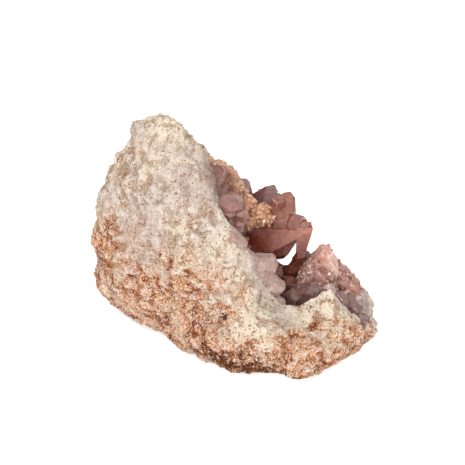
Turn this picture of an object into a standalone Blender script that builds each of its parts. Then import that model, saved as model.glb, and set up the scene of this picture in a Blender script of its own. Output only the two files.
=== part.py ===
"""A broken nodule of pink amethyst: a rough pale rind around a hollow lined with quartz crystals.

Metres, +Z up. The stone rests on its flat underside at z = 0, and its open side faces up and to
the right (+X). Two bodies are made: the rind, and the crust of crystals that lines its hollow.
"""

import math
import random

import bmesh
import bpy
import numpy as np
from mathutils import Matrix, Vector, noise

MM = 0.001
RIND_COLOUR = (0.66, 0.52, 0.40)     # linear
CRYSTAL_COLOUR = (0.36, 0.15, 0.11)

# ---------------------------------------------------------------- rind: outer form, in mm
RIND_CENTRE = (1.0, 3.0, 12.0)
RIND_ROUNDING = 0.10  # how softly the skin turns at its survey points
RIND_POINTS = {
    "peak": [(-26.5, 1, 85.5), (-20, 1, 82.5), (-31, 3, 81.5), (-34.5, 5, 77.5), (-26, 10, 80)],
    "shoulder": [(-16, 1, 79), (-11.5, 0, 74), (-9, -2, 69.5)],
    "left_edge": [
        (-35.8, 6, 72.5), (-39, 8, 67), (-43, 9, 59.5), (-46.5, 10, 50), (-48.7, 11, 40),
        (-50.7, 12, 33), (-49.5, 12, 25), (-50.3, 12, 17.5), (-46, 11, 11),
    ],
    "foot_front": [
        (-41, 9, 7), (-32, 4, 3.5), (-23.5, -2, 3), (-17.5, -11, 1), (-11, -18, 0.5),
        (-4, -25.5, 1), (6, -30, 1.5), (16, -30.5, 2), (23, -34, 3.5), (29, -32, 3.5), (35, -25.5, 2.5),
        (39, -20, 2), (44, -12, 1), (49, -4, 0.5),
    ],
    "front_face": [
        (-38, -3, 42), (-30, -6, 64), (-28, -12, 46), (-14, -14, 56), (-27, -12, 24),
        (-10, -22, 38), (-9, -23, 20), (8, -27, 22), (22, -30, 12), (36, -19, 12),
    ],
    "near_rim": [
        (-8.5, -10, 64), (-7, -12, 59), (-5, -13, 54), (-0.5, -14, 48), (3.5, -14, 42),
        (7, -14, 35.5), (9.5, -15, 29), (12, -15, 22), (17, -15, 17.5), (22, -14, 18),
        (28, -13, 21), (33, -12, 24), (36.5, -10, 20.5), (41, -7.5, 13.5), (45.5, -4, 7),
    ],
    "right_end": [(51, 1.5, 3), (49.7, 7, 6.5), (47.5, 13, 10), (45, 18, 12)],
    "far_rim": [
        (-6, 11, 61.5), (0, 19, 53.5), (7, 25, 42), (13.5, 28, 26.5), (17.5, 30, 14.5),
        (21, 31, 12), (25.5, 31, 13), (29, 31, 17), (34, 31, 19.5), (41, 27, 14),
    ],
    "broken_face": [(0, 4, 50), (10, 6, 34), (22, 8, 20), (32, 9, 15)],
    "back": [
        (-30, 22, 62), (-14, 31, 45), (-42, 26, 32), (-25, 35, 24), (0, 37, 24), (14, 38, 10),
        (30, 38, 7), (44, 28, 5), (-40, 24, 8), (-18, 34, 6),
    ],
    "underside": [(0, 2, -5), (-22, 14, -3), (20, -16, -5), (34, 12, -4), (2, 28, -3), (-6, -8, -3)],
}
# Ledges, knobs and dents of the skin: place, reach and height (negative is a dent), in mm.
RIND_LUMPS = [
    ((-40.5, 7, 68.0), 4.0, 1.6),   # ledge below the notch on the left edge
    ((-35.5, 6, 70.5), 2.6, -1.6),  # the notch
    ((-52, 10, 34), 6.0, 0.6),
    ((-26, -12, 36), 9.0, 1.4),
    ((-12, -24, 22), 8.0, -1.6),
    ((-18, -12, 10), 6.0, -1.6),
    ((-2, -27, 12), 6.0, 1.6),
    ((-6, -25, 4), 5.0, -2.0),      # the cleft under the front
    ((12, -30, 6), 6.0, -1.6),
    ((33, -13, 24), 4.0, 0.8),      # knob on the near rim
    ((30, -26, 12), 6.0, 1.2),
    ((42, -12, 10), 6.0, 0.8),
    ((-20, -6, 70), 7.0, 1.2),
    ((-8, -16, 48), 7.0, 1.0),
]
BROAD_SIZE, BROAD_HEIGHT = 15.0, 1.0
KNOB_SIZE, KNOB_HEIGHT = 9.0, 1.5
RIND_SUBDIVISIONS = 6
RIND_KEPT = 0.21  # share of the skin's faces that the rind keeps

# ---------------------------------------------------------------- hollow, in mm
HOLLOW_CENTRE = (17.0, 8.0, 30.0)
HOLLOW_ROUNDING = 0.25
HOLLOW_SUBDIVISIONS = 3
HOLLOW_POINTS = [
    (-8.5, -2, 66), (-9, -5, 63), (-8, -8, 57.5), (-5, -9, 51.5), (-0.5, -10, 45.5),
    (3.5, -10, 39.5), (7, -10, 33.5), (9.5, -10.5, 27), (13, -11, 20), (18, -11, 16), (23, -10.5, 16),
    (28, -10, 19), (33, -8, 21), (36, -6, 18.5), (40, -4, 12.5), (45, -2, 5.5), (47.5, 3, 5),
    (47.5, 9, 8),
    (-6.5, 7, 63), (-1, 14, 55), (5, 20, 45), (11, 25, 31), (17, 31, 15.5), (22, 32, 13), (28, 27.5, 17),
    (36, 25, 16), (42, 20, 13),
    (-4, 3, 46), (-1, 8, 32), (7, 8, 17), (20, 8, 8), (33, 8, 7),
    (20, 8, 70), (0, 8, 78), (56, 8, 40), (20, -24, 60), (20, 40, 60), (52, -14, 36), (52, 30, 36),
]
CRUST_ROOT = 0.8     # how far the lining reaches past the wall before it is fitted to the rind
CRUST_THICKNESS = 2.2
RIM_SETBACK = 0.5    # how far the lining stops short of the rind's skin
CRUST_GAP = 0.35     # kept between the rind and the crust

# ---------------------------------------------------------------- crystals, in mm
# Large crystals: root, tip, width, depth, roll in degrees, and the tip's share of the length.
LARGE_CRYSTALS = {
    "violet_point": ((0.5, 22, 36.5), (16, 20, 47.5), 8, 7, 0, 0.16),
    "violet_back": ((3.5, 22, 39), (14, 21, 50), 6, 6, 0, 0.22),
    "violet_low": ((0, 20, 42), (10.5, 20, 48.5), 7, 6, 10, 0.25),
    "rose_blade": ((7, 15, 30), (22.5, 15, 47), 13, 8, 30, 0.16),
    "rose_crown": ((10.5, 17, 31.5), (20, 17, 48), 7, 6, 0, 0.2),
    "rose_side": ((13.5, 14, 33), (24.5, 14, 42), 8, 6, 10, 0.2),
    "rose_tooth": ((15.5, 13, 34.5), (27.5, 12, 40.5), 6.5, 5, 0, 0.2),
    "long_blade": ((-1, 10, 33.5), (28.5, 9, 35.5), 6, 8, 0, 0.1),
    "blade_end": ((20.5, 11, 36), (26.5, 10, 28), 4.5, 4, 0, 0.22),
    "under_blade": ((0.5, 14, 22.5), (22, 13, 30), 7.5, 6, 0, 0.3),
    "under_point": ((2.5, 14, 18), (17, 14, 24.5), 6, 6, 20, 0.3),
    "standing_point": ((25, 14, 18.5), (24, 11, 33.5), 2.8, 3, 0, 0.3),
    "mauve_block": ((-10, -1, 51.5), (5, 0, 50.5), 8.5, 7, 0, 0.12),
    "mauve_step": ((-7, -3, 48.5), (3.5, -1, 47.5), 4.5, 4.5, 20, 0.2),
    "mauve_face": ((-14, -1, 60.5), (-4, 1, 59), 9, 6, 10, 0.25),
    "ridge_a": ((-10.5, 5, 59), (-5.5, 5, 67.5), 7, 6, 0, 0.3),
    "ridge_b": ((-8.5, 8, 55.5), (-2.5, 8, 64.5), 8, 6, 20, 0.3),
    "ridge_c": ((-6.5, 10, 51.5), (1, 11, 61), 8, 6, 0, 0.3),
    "ridge_d": ((-3.5, 13, 47.5), (3, 13, 57.5), 8, 6, 40, 0.3),
    "ridge_e": ((-2.5, 16, 44), (5.5, 16, 53.5), 8, 6, 0, 0.3),
    "ridge_f": ((0, 18, 40.5), (8, 18, 49), 7, 6, 20, 0.3),
    "peach_a": ((0.5, 8, 44.5), (7, 5, 51), 7, 6, 0, 0.3),
    "peach_b": ((3.5, 8, 40), (12, 6, 49), 7, 6, 20, 0.3),
    "peach_c": ((4, 7, 39.5), (14, 5, 44.5), 6, 5, 0, 0.3),
    "peach_d": ((0.5, 6, 39), (8, 3, 44), 6, 5, 20, 0.3),
    "pale_a": ((-5, -8, 42), (4.5, -6, 40), 8, 7, 0, 0.2),
    "pale_b": ((2, -8, 32), (15.5, -5, 31.5), 8, 8, 20, 0.2),
    "pale_c": ((7, -8, 23.5), (11, -6, 36), 9, 7, 0, 0.2),
    "pale_d": ((7.5, -8, 21.5), (18, -5, 22), 8, 8, 20, 0.2),
    "pale_e": ((11, -8, 15.5), (15, -6, 28), 8, 7, 0, 0.2),
    "druse_a": ((31.5, 19, 14.5), (32, 23, 27), 7, 6, 0, 0.35),
    "druse_b": ((30.5, 19, 14.5), (28.5, 21, 26.5), 7, 6, 20, 0.35),
    "druse_c": ((30, 18, 14), (26, 19, 24.5), 7, 6, 0, 0.35),
    "druse_d": ((32, 19, 14.5), (35.5, 23, 25), 8, 7, 40, 0.35),
    "druse_e": ((33, 19, 13.5), (39, 24, 20.5), 8, 7, 10, 0.35),
    "druse_f": ((31.5, 18, 12.5), (28.5, 9, 26.5), 7, 6, 20, 0.4),
    "druse_g": ((33, 18, 12.5), (32.5, 10, 27), 8, 7, 0, 0.4),
    "druse_h": ((33.5, 18, 12), (36, 11, 23), 7, 6, 0, 0.4),
    "druse_i": ((29, 17, 11.5), (25.5, 11, 22.5), 7, 6, 40, 0.4),
    "druse_j": ((30.5, 16, 10.5), (30, 6, 24), 7, 6, 10, 0.4),
    "druse_k": ((40.5, 19, 5.5), (42, 23, 16.5), 8, 7, 0, 0.35),
    "druse_l": ((42, 18, 5), (46, 21, 13.5), 8, 7, 30, 0.35),
    "druse_m": ((43, 15, 4), (48, 19, 11.5), 8, 7, 0, 0.35),
    "druse_n": ((39.5, 17, 5.5), (38, 12, 19), 7, 6, 0, 0.4),
    "druse_o": ((41.5, 15, 5), (42.5, 11, 16), 7, 6, 10, 0.4),
    "dark_a": ((19.5, -4, 11.5), (22.5, 3, 21.5), 8, 7, 0, 0.3),
    "dark_b": ((22.5, 0, 10.5), (32.5, 2, 20), 8, 7, 20, 0.3),
    "dark_c": ((38, 2, 6), (41.5, 6, 16), 7, 7, 0, 0.3),
    "dark_d": ((42.5, 2, 1), (44.5, 6, 11.5), 7, 6, 0, 0.3),
    "dark_e": ((46.5, 1, -0.5), (47.5, 5, 6), 5, 5, 0, 0.3),
}
SMALL_SPACING = 4.7        # between the roots of the small crystals that line the hollow
SMALL_RISE = (2.6, 5.2)    # how far their tips stand above the lining
SMALL_WIDTH = (3.8, 5.6)
SMALL_LEAN = 0.40
SMALL_SETBACK = 2.4        # from the rim to the nearest small crystal
BARE_PLACES = [((20, 29, 14), 7.0)]  # a low saddle of the far rim that carries no crystals
SMALL_ROOT = 1.2           # how deep a crystal starts below the face of the lining
SEED = 7
FLAT_WITHIN = 1.0  # degrees


def radial_skin(centre, points, rounding):
    """A function that gives the distance from centre to a smooth closed skin through the points."""
    offsets = np.array(points, float) - np.array(centre, float)
    distances = np.linalg.norm(offsets, axis=1)
    nodes = offsets / distances[:, None]

    def kernel(directions):
        chords = np.linalg.norm(directions[:, None, :] - nodes[None, :, :], axis=2)
        return np.sqrt(chords**2 + rounding**2)

    count = len(nodes)
    system = np.ones((count + 1, count + 1))
    system[:count, :count] = kernel(nodes)
    system[count, count] = 0.0
    weights = np.linalg.solve(system, np.append(np.log(distances), 0.0))

    def reach(directions):
        return np.exp(kernel(np.atleast_2d(directions)) @ weights[:count] + weights[count])

    return reach


def skin_object(name, centre, reach, subdivisions):
    """An icosphere whose vertices are moved out to a radial skin."""
    bpy.ops.mesh.primitive_ico_sphere_add(subdivisions=subdivisions, radius=1.0)
    made = bpy.context.object
    made.name = name
    directions = np.array([v.co.normalized() for v in made.data.vertices])
    places = (directions * reach(directions)[:, None] + np.array(centre)) * MM
    made.data.vertices.foreach_set("co", places.ravel())
    made.data.update()
    return made


def helper(item):
    """Marks an object as a guide or cutter, which isn't part of the stone."""
    item.hide_render = True
    item.display_type = "WIRE"
    return item


def grown(item, name, distance):
    """A copy of an object with every vertex moved along its normal, in mm."""
    made = item.copy()
    made.data = item.data.copy()
    made.name = name
    bpy.context.collection.objects.link(made)
    normals = [v.normal.copy() for v in made.data.vertices]
    for vertex, normal in zip(made.data.vertices, normals):
        vertex.co += normal * distance * MM
    made.data.update()
    return made


def roughen(item):
    """Gives the rind its ledges, dents and broad lumps."""
    lumps = [(Vector(place), reach, height) for place, reach, height in RIND_LUMPS]
    moves = []
    for vertex in item.data.vertices:
        place = vertex.co / MM
        rise = BROAD_HEIGHT * noise.noise(place / BROAD_SIZE)
        nearest = noise.voronoi(place / KNOB_SIZE)[0][0]
        rise += KNOB_HEIGHT * (0.4 - nearest)
        for centre, reach, height in lumps:
            rise += height * math.exp(-(((place - centre).length / reach) ** 2))
        moves.append(vertex.normal * rise * MM)
    for vertex, move in zip(item.data.vertices, moves):
        vertex.co += move
    item.data.update()


def apply_modifier(item, modifier):
    bpy.context.view_layer.objects.active = item
    bpy.ops.object.modifier_apply(modifier=modifier.name)


def boolean(item, operation, other):
    """Cuts an object by, or joins it to, another object or a collection of them."""
    made = item.modifiers.new(operation.lower(), "BOOLEAN")
    made.operation = operation
    made.solver = "EXACT"
    if isinstance(other, bpy.types.Collection):
        made.operand_type = "COLLECTION"
        made.collection = other
    else:
        made.object = other
    apply_modifier(item, made)


def box(name, low, high):
    bpy.ops.mesh.primitive_cube_add(size=1.0)
    made = bpy.context.object
    made.name = name
    low, high = Vector(low) * MM, Vector(high) * MM
    for vertex in made.data.vertices:
        vertex.co = [a + (b - a) * (c + 0.5) for a, b, c in zip(low, high, vertex.co)]
    return made


def crystal(name, root, tip, width, depth, roll, tip_share, chance):
    """A six-sided crystal with flat faces and a pyramid for its tip."""
    root, tip = Vector(root), Vector(tip)
    axis = tip - root
    length = axis.length
    frame = axis.to_track_quat("Z", "Y").to_matrix() @ Matrix.Rotation(math.radians(roll), 3, "Z")
    shape = bmesh.new()
    lower, upper = [], []
    for side in range(6):
        angle = math.radians(60 * side)
        across = Vector((width / 2 * math.cos(angle), depth / 2 * math.sin(angle), 0))
        shoulder = length * (1 - tip_share * chance.uniform(0.8, 1.15))
        lower.append(shape.verts.new((root + frame @ across) * MM))
        upper.append(shape.verts.new((root + frame @ (across + Vector((0, 0, shoulder)))) * MM))
    off = Vector((chance.uniform(-0.1, 0.1) * width, chance.uniform(-0.1, 0.1) * depth, length))
    apex = shape.verts.new((root + frame @ off) * MM)
    shape.faces.new(list(reversed(lower)))
    for side in range(6):
        after = (side + 1) % 6
        shape.faces.new((lower[side], lower[after], upper[after], upper[side]))
        shape.faces.new((upper[side], upper[after], apex))
    mesh = bpy.data.meshes.new(name)
    shape.to_mesh(mesh)
    shape.free()
    return bpy.data.objects.new(name, mesh)


def small_crystals(hollow, rind_reach, chance):
    """The crystals that cover the hollow, each standing on the wall nearly square to it."""
    centre = np.array(RIND_CENTRE)
    order = list(hollow.data.vertices)
    chance.shuffle(order)
    roots, made = [], []
    for vertex in order:
        place, inward = vertex.co / MM, -vertex.normal
        offset = np.array(place) - centre
        distance = float(np.linalg.norm(offset))
        if distance > float(rind_reach(offset / distance)[0]) - SMALL_SETBACK:
            continue
        if any((place - Vector(spot)).length < radius for spot, radius in BARE_PLACES):
            continue
        if any((place - other).length < SMALL_SPACING for other in roots):
            continue
        roots.append(place)
        lean = Vector([chance.uniform(-1, 1) for _ in range(3)]) * SMALL_LEAN
        direction = (inward + lean).normalized()
        rise = chance.uniform(*SMALL_RISE)
        base = place + inward * (CRUST_THICKNESS - SMALL_ROOT)
        width = chance.uniform(*SMALL_WIDTH)
        made.append(crystal(
            "small", base, base + direction * (SMALL_ROOT + rise), width,
            width * chance.uniform(0.75, 1.0), chance.uniform(0, 60), 0.45, chance,
        ))
    return made


def centre_on_base(rind, crust):
    """Moves both bodies so that the origin is at the centre of the underside's box."""
    corners = [Vector(corner) for corner in rind.bound_box]
    middle = sum(corners, Vector()) / len(corners)
    shift = Matrix.Translation((-middle.x, -middle.y, 0.0))
    for item in (rind, crust):
        item.data.transform(shift)


def paint(item, name, colour, roughness):
    """Gives an object one material of its own."""
    made = bpy.data.materials.new(name)
    made.use_nodes = True
    shader = made.node_tree.nodes["Principled BSDF"]
    shader.inputs["Base Color"].default_value = (*colour, 1.0)
    shader.inputs["Roughness"].default_value = roughness
    shader.inputs["Metallic"].default_value = 0.0
    item.data.materials.clear()
    item.data.materials.append(made)


def keep_largest_body(item):
    """Removes any splinter that isn't joined to the main body."""
    shape = bmesh.new()
    shape.from_mesh(item.data)
    left, bodies = set(shape.faces), []
    while left:
        found = [left.pop()]
        for face in found:
            for edge in face.edges:
                for other in edge.link_faces:
                    if other in left:
                        left.discard(other)
                        found.append(other)
        bodies.append(found)
    bodies.sort(key=len)
    for body in bodies[:-1]:
        bmesh.ops.delete(shape, geom=body, context="FACES")
    shape.to_mesh(item.data)
    shape.free()


def merge_flat_faces(item):
    """Joins the pieces that the cuts leave of each flat face."""
    shape = bmesh.new()
    shape.from_mesh(item.data)
    bmesh.ops.dissolve_limit(
        shape, angle_limit=math.radians(FLAT_WITHIN), verts=shape.verts, edges=shape.edges
    )
    shape.to_mesh(item.data)
    shape.free()


def main():
    for item in list(bpy.data.objects):
        bpy.data.objects.remove(item)
    chance = random.Random(SEED)
    rind_reach = radial_skin(
        RIND_CENTRE, [p for group in RIND_POINTS.values() for p in group], RIND_ROUNDING
    )
    hollow_reach = radial_skin(HOLLOW_CENTRE, HOLLOW_POINTS, HOLLOW_ROUNDING)
    rind = skin_object("rind", RIND_CENTRE, rind_reach, RIND_SUBDIVISIONS)
    roughen(rind)
    coarser = rind.modifiers.new("coarser", "DECIMATE")
    coarser.ratio = RIND_KEPT
    apply_modifier(rind, coarser)
    hollow = helper(skin_object("hollow", HOLLOW_CENTRE, hollow_reach, HOLLOW_SUBDIVISIONS))
    below = helper(box("below", (-90, -90, -60), (90, 90, 0)))

    crust = grown(hollow, "crystal_crust", CRUST_ROOT)
    crust.hide_render = False
    crust.display_type = "TEXTURED"
    inside = helper(grown(hollow, "inside", -CRUST_THICKNESS))
    boolean(crust, "DIFFERENCE", inside)
    boolean(crust, "INTERSECT", helper(grown(rind, "inner_skin", -RIM_SETBACK)))

    boolean(rind, "DIFFERENCE", hollow)
    boolean(rind, "DIFFERENCE", below)
    keep_largest_body(rind)

    cluster = bpy.data.collections.new("cluster")
    for name, (root, tip, width, depth, roll, share) in LARGE_CRYSTALS.items():
        cluster.objects.link(crystal(name, root, tip, width, depth, roll, share, chance))
    for item in small_crystals(hollow, rind_reach, chance):
        cluster.objects.link(item)
    boolean(crust, "UNION", cluster)
    boolean(crust, "DIFFERENCE", helper(grown(rind, "rind_guard", CRUST_GAP)))
    merge_flat_faces(crust)
    keep_largest_body(crust)
    centre_on_base(rind, crust)
    paint(rind, "pale_rind", RIND_COLOUR, 0.85)
    paint(crust, "rose_quartz", CRYSTAL_COLOUR, 0.25)


main()
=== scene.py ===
"""The looks of a broken nodule of pink amethyst.

A rough, iron-stained rind with a smooth chalcedony rim holds a hollow full of rose, mauve and
dark quartz points, a tan druse ridge and a knob of pink druse. Metres, +Z up.
"""

import math
import random

import bpy
import numpy as np
from mathutils import Matrix, Vector, kdtree
from mathutils.bvhtree import BVHTree


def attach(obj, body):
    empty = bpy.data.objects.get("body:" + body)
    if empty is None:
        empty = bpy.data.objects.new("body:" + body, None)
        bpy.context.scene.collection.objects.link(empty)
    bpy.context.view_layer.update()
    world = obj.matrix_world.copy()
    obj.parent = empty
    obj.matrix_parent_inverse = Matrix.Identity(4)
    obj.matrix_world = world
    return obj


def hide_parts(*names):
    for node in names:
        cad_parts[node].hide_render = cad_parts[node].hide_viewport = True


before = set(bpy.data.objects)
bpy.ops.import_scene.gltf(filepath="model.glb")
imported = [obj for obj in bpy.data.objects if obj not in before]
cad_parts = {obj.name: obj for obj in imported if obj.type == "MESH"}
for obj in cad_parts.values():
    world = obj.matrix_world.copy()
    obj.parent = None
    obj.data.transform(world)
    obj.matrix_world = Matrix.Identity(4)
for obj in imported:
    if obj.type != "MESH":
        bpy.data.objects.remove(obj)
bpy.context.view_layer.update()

MM = 0.001
# In mm: crystals and bare places are given before the stone is centred on its base, marks after.
SHIFT = Vector((-0.4, -2.9, 0.0))

# -------- view and light
VIEW_TARGET = Vector((-0.0004, -0.0029, 0.041))
VIEW_ELEVATION = 25.0   # degrees
VIEW_DISTANCE = 0.6
VIEW_WIDTH = 0.16275    # of the frame at the target
SENSOR = 36.0
HORIZON_GLOW, ZENITH_GLOW = 0.35, 1.0
LIGHT_AIM = Vector((0.0, 0.0, 0.03))
LIGHTS = {  # place, size and power in watts
    "key": ((-0.35, -0.8, 0.95), 0.45, 9.5),
    "front": ((0.1, -1.2, 0.45), 0.9, 5.5),
    "fill": ((0.9, -0.3, 0.7), 0.9, 2.5),
}
FLOOR_RADIUS = 3.0
FLOOR_GLOW = 0.42

# -------- relief of the rind, in mm
RIND_VOXEL = 0.58
CRAGS = (12.0, -1.7, 0.8)     # width, height and unevenness
KNOBS = (3.6, -0.7, 0.6)
GRAINS = (1.7, -0.5, 0.5)
LUMP_WIDTH, LUMP_HEIGHT = 4.5, 1.6
PIT_RANGE = 0.9               # of height, from the crest of a knob to the bottom of a pit
BASE_BAND = 0.4               # of height over which the underside stays as flat as the solid's
RIM_SEARCH = 8.0              # how far from the crystals the rim can reach
RIM_BAND = 4.5
RIM_SMOOTHING = 0.5           # share of the relief that the rim loses
RIM_SETBACK = 0.2

# -------- marks on the rind
# Iron stain, and along the base painted shade: place on the skin, reach and amount, in mm.
RUST_AND_SHADE_PATCHES = [
    (-45.5, -1, 37, 6.5, 1.1), (-47.5, 3, 25.5, 8, 1.1), (-46, 8, 16, 8, 0.9),
    (-44, -1, 17.5, 6.5, 0.6), (-38, -8, 31, 6, 0.5), (-32.5, -11.5, 26.5, 7, 0.9),
    (-35, -8.5, 17.5, 8, 1), (-29.5, -10, 12, 7.5, 1.1), (-25.5, -17, 25.5, 6.5, 0.9),
    (-25.5, -16, 21, 7, 1.1), (-24, -13, 9.5, 7, 1.1), (-16.5, -23, 29, 6.5, 0.8),
    (-13.5, -23, 17, 8, 1.1), (-15, -24, 11.5, 6, 1), (-10, -27.5, 11.5, 6, 1.1),
    (-3, -28.5, 22, 3.5, 1.1), (-10, -27.5, 8.5, 6, 1.2), (-1.5, -32, 5.5, 8, 1.3),
    (9, -32.5, 2.5, 8, 1.2), (17.5, -33.5, 13, 6, 0.9), (22.5, -32, 12, 6, 0.8),
    (14.5, -31.5, 2, 6, 1.1), (30, -21, 12, 4, 0.7), (44.5, -14.5, 3.5, 6, 1.2),
    (37, -22.5, 11, 5.5, 0.7), (40.5, -21, 6, 5, 0.8), (29.5, -34, 5.5, 7.5, 1),
    (24.5, -35.5, 8.5, 5, 0.8), (37, -26, 5, 6, 0.8), (2, -26, 28, 4.5, 0.35),
    (-34.5, -0.5, 73.5, 3.5, 0.5), (-25, -19.5, 40, 3.5, 0.5), (19, -36.5, 7, 7, 0.8),
    (5.5, -34.5, 11.5, 5, 0.8), (-30, 30, 30, 14, 0.7), (10, 36, 14, 12, 0.8),
    (-49, 12, 30, 9, 0.9), (-38, 24, 50, 8, 0.4), (44, 24, 4, 8, 0.8), (-20, 36, 10, 12, 0.9),
    (-49.5, 4.5, 30.5, 7, 1.2), (-49, 6, 22, 7, 1.2), (-47, 2, 37.5, 5, 1.1),
    (-7.5, -24.5, 33.5, 5, 0.8), (-13.5, -20.5, 39.5, 5, 0.55), (-34, -10, 43, 6, 0.35),
    # The patches from here on lie along the base: painted shade where the underside turns from the
    # light, tinted like iron.
    (-41.5, 0.5, 9, 5, 0.8), (-37, -1, 6, 5, 1), (-32, -1, 4, 5, 1), (-27, -5, 3, 5, 1.1),
    (-22.5, -12.5, 4, 5, 1.1), (-19, -18.5, 4, 5, 0.9), (17, -34, 1.5, 5, 1.1),
    (23, -36.5, 1.5, 5, 1), (28, -35.5, 2, 5, 1), (33, -29, 2, 5, 1), (39, -23.5, 2, 5, 1),
    (48, -8, 1.5, 4, 1),
]
# Dark specks, nearly black, and painted shade: the cleft along the base, the edge where the underside
# turns away and the far saddle inside the hollow.
SOOT_AND_SHADE_PATCHES = [
    (-9, -27, 7, 4.5, 0.85), (-3, -30, 4, 5, 0.95), (4, -33, 3, 5, 0.95), (10, -33, 2, 5, 0.85),
    (16, -33.5, 1, 4, 0.75), (23, -36, 1, 4, 0.6), (2.5, -34.5, 9.5, 4, 0.7),
    (8.5, -34, 7.5, 4, 0.75), (-14, -25, 5, 4, 0.75), (20.5, -29, 13.5, 3, 0.55),
    (-10, -27.5, 8.5, 3.5, 0.75), (-1.5, -32, 4.5, 4, 0.95), (-15, -25, 8, 3, 0.6),
    (14.5, -32.5, 1, 4, 0.7), (-3, -28.5, 21.5, 2, 0.9), (46.5, -10, 3.5, 3.5, 0.8),
    (42, -19, 3, 3, 0.6), (26.5, -16.5, 19, 1.4, 0.9), (-25.5, -19, 40, 1.8, 0.6),
    (-28, -4, 1.5, 3.5, 0.5), (-23, -12, 2, 3.5, 0.6), (-18, -18, 2, 3, 0.5),
    (-40, -5, 45.5, 1.5, 0.55), (10, -24, 20, 1.6, 0.7), (18.5, 26, 14, 9, 1.3),
    (49, 0.5, 4.5, 5, 0.35), (-24.5, -17.5, 20, 2.4, 0.45), (-24.5, -16, 14, 2.8, 0.5),
    (-30, -14.5, 31, 2.4, 0.45), (-29.5, -16.5, 36.5, 1.8, 0.5), (-15.5, -22.5, 24, 2.2, 0.45),
    (-13.5, -23.5, 17.5, 2.6, 0.45), (-13, -24, 10.5, 3.4, 0.5), (-6.5, -27.5, 5.5, 5, 0.9),
    (7.5, -34.5, 9, 4, 0.7), (14, -33.5, 6, 4, 0.5),
]
# Patches made greyer and darker, with little iron and fewer marks.
GREY_PATCHES = [
    (-21.5, -10.5, 75, 6, 0.9), (-15, -9, 74.5, 6, 0.9), (-18, -13, 67.5, 8, 0.9),
    (-13, -15, 62.5, 6, 0.9), (-9.5, -11, 66.5, 6, 0.9), (-34, -3, 77, 5, 0.9),
    (-28.5, -12.5, 52, 9, 0.8), (-27, -16, 46.5, 8, 0.8), (-20, -15.5, 59, 5, 0.4),
    (7.5, -16, 36, 8, 0.6), (13, -18, 24, 6, 0.7), (-2, -18, 46, 6, 0.4), (-34, -10, 43.5, 9, 0.9),
    (-41.5, 0.5, 54, 7, 0.5), (-34, -11, 36, 7, 0.5), (17.5, -21, 17, 5.5, 0.9), (48, 6, 8, 6, 0.6),
]
# Where the stone turns into mauve quartz at the lip of the hollow.
BLUSH_PATCHES = [
    (-7, -7, 67.5, 3.2, 1.1), (-6, -9.5, 65, 3.6, 1.2), (-5.5, -12, 62.5, 3.4, 1.2),
    (-4.5, -13.5, 59.5, 3, 1), (-3.5, -14.5, 56.5, 2.4, 0.7),
]
# Bright, yellowish stone.
CREAM_PATCHES = [
    (-25, -5, 82.5, 8, 0.8), (-20, -6, 79, 6, 0.6), (-4.5, -22, 43, 7, 0.5),
    (-1, -24.5, 35, 7, 0.5), (2.5, -29, 25, 7, 0.7), (5.5, -33.5, 17, 6, 0.7), (29, -16, 20, 5, 1),
    (33.5, -16, 18.5, 5, 1), (39, -16, 14.5, 5, 0.9), (10, -24, 21, 6, 0.6),
    (-19.5, -20.5, 9.5, 5, 1.1), (38.5, -18, 13.5, 6, 1.2), (25, -18, 16.5, 5, 1),
    (-27.5, -14.5, 22.5, 5, 1.1), (35.5, -17, 17, 5, 1.2), (32, -16.5, 19.5, 5, 1.1),
    (2, -23, 32.5, 6, 0.9), (5.5, -25.5, 26, 6, 0.9), (9.5, -33, 16, 5, 1.1), (14, -32, 15, 5, 1),
    (35, -23.5, 10.5, 4, 1), (22.5, -34.5, 11, 4, 0.8),
]
# Painted shade: dark brown spots where the druse has hollows.
POCKET_SHADES = [
    (-2.5, 0.5, 62.5, 2.5, 1), (-1.5, 2, 60, 2.5, 1.1), (-0.5, 2, 56, 2, 1.1), (9.5, 1.5, 38, 2, 1),
    (6, 1, 40, 1.5, 0.8),
]
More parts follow.
